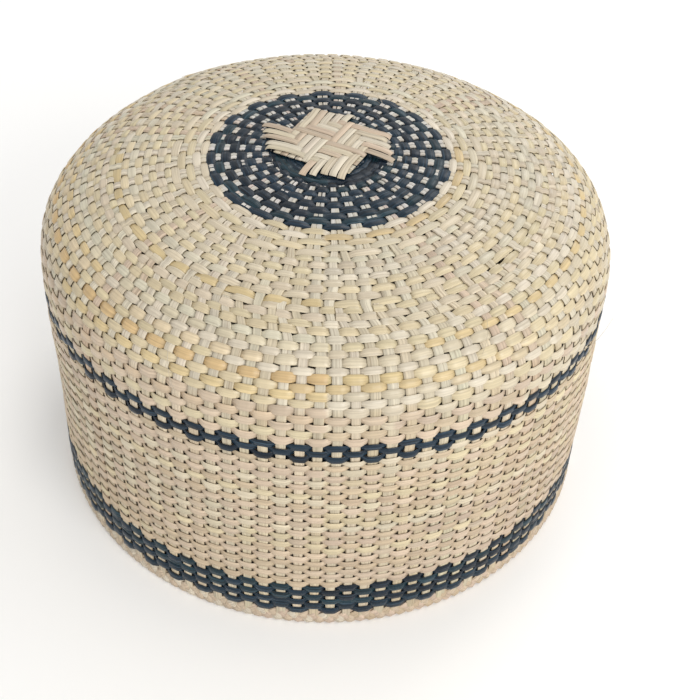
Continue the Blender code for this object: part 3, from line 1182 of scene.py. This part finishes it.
LAMP_AIM = (0.0, 0.0, 0.08)
LAMP_PLACE = (0.80, -1.20, 0.80)
LAMP_SIZE = 1.0
BACK_LAMP_PLACE = (0.5, 0.9, 1.1)
BACK_LAMP_SIZE = 0.8
BACK_LAMP_SHARE = 0.35
CAMERA_LENS = 64.8
CAMERA_SENSOR = 36.0
CAMERA_SHIFT = (0.0367, -0.0656)
CAMERA_AIM_HEIGHT = 0.072
CAMERA_ROLL = math.radians(1.64)


def make_floor(settings):
    deselect()
    bpy.ops.mesh.primitive_plane_add(size=12.0, location=(0, 0, -0.0002))
    floor = bpy.context.active_object
    floor.name = "floor"
    bpy.ops.object.transform_apply(location=True, rotation=True, scale=True)
    nodes = Nodes("floor_finish")
    nodes.shader.inputs["Base Color"].default_value = (*settings.floor_colour, 1.0)
    nodes.shader.inputs["Roughness"].default_value = 0.9
    nodes.shader.inputs["Specular IOR Level"].default_value = 0.2
    floor.data.materials.append(nodes.material)


def add_lamp(name, place, size, power, colour):
    lamp = bpy.data.lights.new(name, "AREA")
    set_all(lamp, {"shape": "DISK", "size": size, "energy": power, "color": colour})
    holder = bpy.data.objects.new(name, lamp)
    bpy.context.scene.collection.objects.link(holder)
    holder.location = place
    holder.rotation_euler = (Vector(LAMP_AIM) - Vector(place)).to_track_quat("-Z", "Y").to_euler()


def make_lights(context, settings):
    world = bpy.data.worlds.new("daylight")
    world.use_nodes = True
    sky = world.node_tree.nodes["Background"]
    sky.inputs["Color"].default_value = (1.0, 0.995, 0.985, 1.0)
    sky.inputs["Strength"].default_value = settings.daylight
    context.scene.world = world
    power = settings.lamp_power
    add_lamp("soft lamp", LAMP_PLACE, LAMP_SIZE, power, (1.0, 0.985, 0.96))
    add_lamp("back lamp", BACK_LAMP_PLACE, BACK_LAMP_SIZE, BACK_LAMP_SHARE * power, (1.0, 0.99, 0.98))


def make_camera(context, settings):
    eye = bpy.data.cameras.new("camera")
    eye.lens = CAMERA_LENS
    eye.sensor_width = CAMERA_SENSOR
    eye.shift_x, eye.shift_y = CAMERA_SHIFT
    eye.clip_start = 0.01
    holder = bpy.data.objects.new("camera", eye)
    context.scene.collection.objects.link(holder)
    up, out = math.sin(settings.eye_height), math.cos(settings.eye_height)
    holder.location = (0.0, -settings.eye_distance * out, CAMERA_AIM_HEIGHT + settings.eye_distance * up)
    tilt = Matrix.Rotation(math.pi / 2 - settings.eye_height, 4, "X")
    holder.rotation_euler = (tilt @ Matrix.Rotation(CAMERA_ROLL, 4, "Z")).to_euler()
    context.scene.camera = holder


# ---- Settings ----


def length_setting(name, description, default):
    return FloatProperty(name=name, description=description, default=default, min=0.0, unit="LENGTH", precision=5)


class WeaveSizes(PropertyGroup):
    weaver_thickness: length_setting("Weaver thickness", "Thickness of the strips that are woven in rows", 0.00055)
    weaver_lift: length_setting("Weaver lift", "How far a weaver swings out over a stake, and in under it", 0.00068)
    row_cover: FloatProperty(
        name="Row cover", description="Width of a weaver as a share of its row's height", default=1.06,
        subtype="FACTOR", min=0.5, max=1.2,
    )
    stake_thickness: length_setting("Stake thickness", "Thickness of the upright stakes", 0.0008)
    stake_lift: length_setting("Stake lift", "How far a stake gives way to the weavers that pass it", 0.00017)


class BraidSizes(PropertyGroup):
    waves: IntProperty(name="Waves", description="Waves of each strand in one round of the border", default=58)
    swing: length_setting("Swing", "How far a strand swings up and down from the middle of the braid", 0.0019)
    lift: length_setting("Lift", "How far a strand swings out over the others", 0.0008)
    strand_width: length_setting("Strand width", "Width of each of the three strands", 0.0043)
    strand_thickness: length_setting("Strand thickness", "Thickness of each of the three strands", 0.0009)


class MouthBraidSizes(BraidSizes):
    waves: IntProperty(name="Waves", description="Waves of each strand in one round of the border", default=64)
    swing: length_setting("Swing", "How far a strand swings up and down from the middle of the braid", 0.0012)
    strand_width: length_setting("Strand width", "Width of each of the three strands", 0.0028)


class LiningSizes(PropertyGroup):
    gathers: IntProperty(name="Gathers", description="Folds that the lining's wall is gathered into", default=64)
    gather_depth: length_setting("Gather depth", "Depth of a gather at the foot of the lining", 0.0030)


class StageSettings(PropertyGroup):
    floor_colour: FloatVectorProperty(
        name="Floor colour", description="Colour of the plain floor", default=(0.97, 0.97, 0.965), subtype="COLOR"
    )
    daylight: FloatProperty(name="Daylight", description="Strength of the even light from all round", default=0.85)
    lamp_power: FloatProperty(
        name="Lamp power", description="Power of the large soft lamp", default=13.0, unit="POWER"
    )
    eye_distance: length_setting("Camera distance", "From the camera to the middle of the basket", 0.5657)
    eye_height: FloatProperty(
        name="Camera elevation", description="Angle at which the camera looks down",
        default=math.radians(40.73), subtype="ANGLE",
    )


# ---- Operators ----


class CoverStakes(Operator):
    """Lay the cover's stakes from the medallion to the border, alternate ones in two pieces"""

    bl_idname = "basket.cover_stakes"
    bl_label = "Cover stakes"

    def execute(self, context):
        sizes = context.scene.weave_sizes
        for first, name in ((0, "cover_stakes_even"), (1, "cover_stakes_odd")):
            chosen = range(first, COVER_PLAN.count, 2)
            lay_stakes(name, COVER_PLAN, COVER_ROWS, chosen, sizes, "cover", 41, "cover_stakes")
        return {"FINISHED"}


class CoverWeave(Operator):
    """Weave the cover's bands, from the medallion down to the foot band"""

    bl_idname = "basket.cover_weave"
    bl_label = "Cover weave"

    def execute(self, context):
        bands = (
            (MEDALLION, "cover_medallion"),
            (CROWN, "cover_crown_weave"),
            (SHOULDER, "cover_shoulder_weave"),
            (UPPER_WALL, "cover_upper_wall_weave"),
            (CHAIN, "cover_chain_band"),
            (LOWER_WALL, "cover_lower_wall_weave"),
            (FOOT_BAND, "cover_foot_band"),
        )
        for band, node in bands:
            weave_band(COVER_PLAN, COVER_ROWS, band, context.scene.weave_sizes, "cover", node)
        return {"FINISHED"}


class CoverStar(Operator):
    """Plait the pale cross on the middle of the crown"""

    bl_idname = "basket.cover_star"
    bl_label = "Crown cross"

    def execute(self, context):
        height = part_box("cover_star")[0].z + 0.0004
        piece = plait_star("crown_cross", COVER_LINE, height, STAR_BACK, 42)
        dress(piece, "star_cane", "cover", "cover_star")
        return {"FINISHED"}


class CoverBorder(Operator):
    """Braid the border round the cover's rim"""

    bl_idname = "basket.cover_border"
    bl_label = "Rim braid"

    def execute(self, context):
        low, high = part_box("cover_rim_border")
        radius = high.x - 0.0018
        piece = braid("rim_braid", radius, 0.5 * (low.z + high.z), context.scene.braid_sizes, 43)
        dress(piece, "border_cane", "cover", "cover_rim_border")
        return {"FINISHED"}


class LooseFibres(Operator):
    """Add the few fibres that have worked loose from the cover"""

    bl_idname = "basket.loose_fibres"
    bl_label = "Loose fibres"

    def execute(self, context):
        dress(loose_fibres("loose_fibres"), "stake_cane", "cover")
        return {"FINISHED"}


class BasketStakes(Operator):
    """Lay the inner basket's stakes from the floor to the mouth, alternate ones in two pieces"""

    bl_idname = "basket.basket_stakes"
    bl_label = "Basket stakes"

    def execute(self, context):
        sizes = context.scene.weave_sizes
        for first, name in ((0, "basket_stakes_even"), (1, "basket_stakes_odd")):
            chosen = range(first, BASKET_PLAN.count, 2)
            lay_stakes(name, BASKET_PLAN, BASKET_ROWS, chosen, sizes, "basket", 44, "basket_stakes")
        return {"FINISHED"}


class BasketWeave(Operator):
    """Weave the inner basket's floor and wall"""

    bl_idname = "basket.basket_weave"
    bl_label = "Basket weave"

    def execute(self, context):
        bands = ((FLOOR, "basket_floor_weave"), (WALL, "basket_wall_weave"), (WALL_BAND, "basket_wall_band"))
        for band, node in bands:
            weave_band(BASKET_PLAN, BASKET_ROWS, band, context.scene.weave_sizes, "basket", node)
        return {"FINISHED"}


class BasketFloorCross(Operator):
    """Plait the cross that the inner basket's floor starts from"""

    bl_idname = "basket.floor_cross"
    bl_label = "Floor cross"

    def execute(self, context):
        piece = plait_star("floor_cross", BASKET_LINE, BASKET_FLOOR + 0.0008, 0.0, 45)
        dress(piece, "star_cane", "basket", "basket_floor_centre")
        return {"FINISHED"}


class BasketBorder(Operator):
    """Braid the border round the inner basket's mouth"""

    bl_idname = "basket.mouth_border"
    bl_label = "Mouth braid"

    def execute(self, context):
        low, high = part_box("basket_mouth_border")
        piece = braid("mouth_braid", high.x - 0.0019, 0.5 * (low.z + high.z), context.scene.mouth_braid_sizes, 46)
        dress(piece, "border_cane", "basket", "basket_mouth_border")
        return {"FINISHED"}


class FootRing(Operator):
    """Make the hoop that the inner basket stands on, wound with a strip of cane"""

    bl_idname = "basket.foot_ring"
    bl_label = "Foot ring"

    def execute(self, context):
        low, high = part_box("basket_foot_ring")
        near, far = high.x - 0.0056, high.x - 0.0004
        hoop = oval_hoop(low.z + 0.0004, high.z - 0.0002, near, far, 160, 12, TAN)
        winding = wound_strip(low.z + 0.0003, high.z - 0.0004, near, far, 84, 0.0062, 0.0004)
        dress(join_pieces("foot_hoop", [hoop, winding]), "wall_cane", "basket", "basket_foot_ring")
        return {"FINISHED"}


class Lining(Operator):
    """Sew the cloth lining: its gathered wall, the hem at the mouth and the stitches that hold it"""

    bl_idname = "basket.lining"
    bl_label = "Lining"

    def execute(self, context):
        sizes = context.scene.lining_sizes
        low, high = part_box("lining_wall")
        wall = gathered_lining("lining_cloth_wall", high.x, low.z, high.z, sizes.gathers, sizes.gather_depth)
        dress(wall, "lining_cloth", "basket", "lining_wall")
        low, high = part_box("lining_hem")
        hem = turned_hem("lining_cloth_hem", low.z - 0.0002, high.z, high.x - 0.0016, high.x)
        dress(hem, "lining_cloth", "basket", "lining_hem")
        stitches = running_stitch("lining_stitches", high.x - 0.00145, low.z + 0.0018, 150, 0.0028)
        dress(stitches, "lining_cloth", "basket")
        return {"FINISHED"}


class FloorPad(Operator):
    """Stuff the round pad on the basket's floor, and pipe its edge"""

    bl_idname = "basket.floor_pad"
    bl_label = "Floor pad"

    def execute(self, context):
        low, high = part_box("lining_floor_pad")
        pad = stuffed_pad("floor_pad", low.z, high.z, high.x)
        dress(pad, "lining_cloth", "basket", "lining_floor_pad")
        level = 0.5 * (low.z + high.z)
        piping = oval_hoop(level - 0.0012, level + 0.0012, high.x - 0.0016, high.x + 0.0008, 240, 8, THREAD)
        dress(join_pieces("pad_piping", [piping], 80), "lining_cloth", "basket")
        return {"FINISHED"}


class Stage(Operator):
    """Set the floor, the soft lamps and the camera"""

    bl_idname = "basket.stage"
    bl_label = "Stage"

    def execute(self, context):
        settings = context.scene.stage_settings
        context.scene.view_settings.view_transform = "Standard"
        make_floor(settings)
        make_lights(context, settings)
        make_camera(context, settings)
        return {"FINISHED"}


STEPS = (
    CoverStakes,
    CoverWeave,
    CoverStar,
    CoverBorder,
    LooseFibres,
    BasketFloorCross,
    BasketStakes,
    BasketWeave,
    BasketBorder,
    FootRing,
    Lining,
    FloorPad,
    Stage,
)
SETTINGS = (
    ("weave_sizes", WeaveSizes),
    ("braid_sizes", BraidSizes),
    ("mouth_braid_sizes", MouthBraidSizes),
    ("lining_sizes", LiningSizes),
    ("stage_settings", StageSettings),
)


class SewingBasketPanel(Panel):
    """The steps of making the sewing basket, in order"""

    bl_idname = "VIEW3D_PT_sewing_basket"
    bl_label = "Woven sewing basket"
    bl_space_type = "VIEW_3D"
    bl_region_type = "UI"
    bl_category = "Basket"

    def draw(self, context):
        layout = self.layout
        for step in STEPS:
            layout.operator(step.bl_idname)
        for name, group in SETTINGS:
            box = layout.box()
            for key in group.__annotations__:
                box.prop(getattr(context.scene, name), key)


def register():
    for group_name, group in SETTINGS:
        bpy.utils.register_class(group)
        setattr(bpy.types.Scene, group_name, PointerProperty(type=group))
    for shown in (*STEPS, SewingBasketPanel):
        bpy.utils.register_class(shown)


def unregister():
    for shown in reversed((*STEPS, SewingBasketPanel)):
        bpy.utils.unregister_class(shown)
    for group_name, group in reversed(SETTINGS):
        delattr(bpy.types.Scene, group_name)
        bpy.utils.unregister_class(group)


def main():
    register()
    bpy.ops.basket.cover_stakes()
    bpy.ops.basket.cover_weave()
    bpy.ops.basket.cover_star()
    bpy.ops.basket.cover_border()
    bpy.ops.basket.loose_fibres()
    bpy.ops.basket.floor_cross()
    bpy.ops.basket.basket_stakes()
    bpy.ops.basket.basket_weave()
    bpy.ops.basket.mouth_border()
    bpy.ops.basket.foot_ring()
    bpy.ops.basket.lining()
    bpy.ops.basket.floor_pad()
    bpy.ops.basket.stage()


if __name__ == "__main__":
    main()
